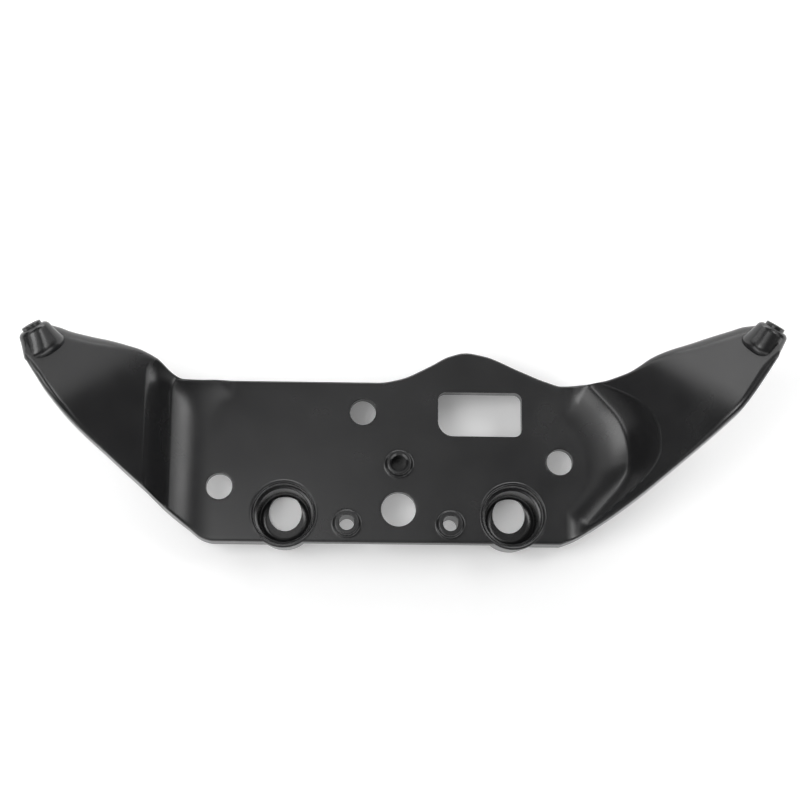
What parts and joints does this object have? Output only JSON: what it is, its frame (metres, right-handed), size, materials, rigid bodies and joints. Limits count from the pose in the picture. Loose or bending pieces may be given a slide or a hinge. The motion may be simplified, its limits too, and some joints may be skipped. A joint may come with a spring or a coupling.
{
  "type": "motorcycle fairing stay",
  "caption": "Die-cast motorcycle fairing stay in satin black: a flat plate with cups, collars, holes and a window, and a raised wing at each side.",
  "frame": {"origin": "middle of the casting's footprint, on the plane that its feet rest on", "axes": "+X across the stay to its right wing, +Y up its face, +Z out of the plate's face"},
  "size_m": [0.4298, 0.1226, 0.1153],
  "materials": {
    "powder_coat": "satin"
  },
  "bodies": {
    "root": {"stay_casting": "powder_coat"}
  },
  "joints": []
}
